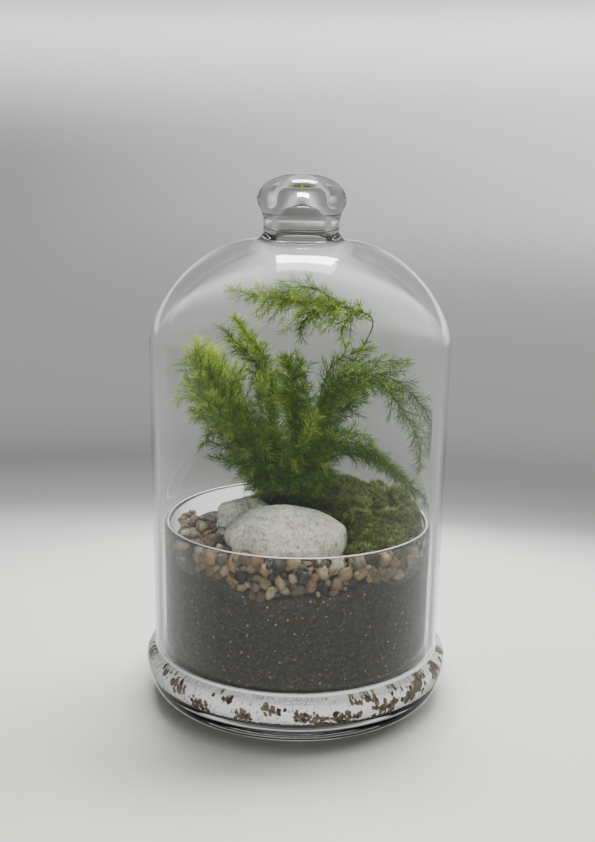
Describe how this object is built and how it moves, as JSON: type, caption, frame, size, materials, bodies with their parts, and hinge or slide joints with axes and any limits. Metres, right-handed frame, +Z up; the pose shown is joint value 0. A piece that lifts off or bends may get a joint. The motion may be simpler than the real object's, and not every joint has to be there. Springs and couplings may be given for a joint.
{
  "type": "glass cloche",
  "caption": "Knobbed glass dome standing on the ledge of a glass planter base that holds sand, soil, gravel, stones, moss and an asparagus fern.",
  "frame": {"origin": "centre of the foot at table level", "axes": "+Z up along the axis of the glass, towards the knob; -Y towards the front with the large stone, +X to the right of it"},
  "size_m": [0.1524, 0.1524, 0.26],
  "materials": {
    "dome_glass": "clear polished",
    "vessel_glass": "clear polished",
    "sand": "coarse white grains",
    "grit": "rough",
    "soil": "crumbly matte",
    "pebbles": "rounded, dull",
    "granite": "speckled, dull",
    "moss": "soft cushions",
    "fern": "fine needle leaves"
  },
  "bodies": {
    "planted_base": {"base_vessel": "vessel_glass", "white_sand": "sand", "drainage_grit": "grit", "potting_soil": "soil", "gravel_band_low": "pebbles", "gravel_band_mid": "pebbles", "gravel_band_top": "pebbles", "surface_gravel": "pebbles", "large_stone": "granite", "small_stone": "granite", "moss_mound": "moss", "star_moss": "moss", "fern_crown": "fern", "frond_left": "fern", "frond_left_low": "fern", "frond_left_mid": "fern", "frond_lower_left": "fern", "frond_upper_left": "fern", "frond_centre": "fern", "frond_tall": "fern", "frond_right_upper": "fern", "frond_right_tip": "fern", "frond_right_arch": "fern", "frond_right_mid": "fern", "frond_lower_right": "fern", "frond_back": "fern"},
    "dome": {"glass_dome": "dome_glass", "glass_knob": "dome_glass"}
  },
  "joints": [
    {"name": "dome_lift", "type": "slide", "parent": "planted_base", "child": "dome", "axis": [0, 0, 1], "range_m": [0, 0.25]}
  ]
}
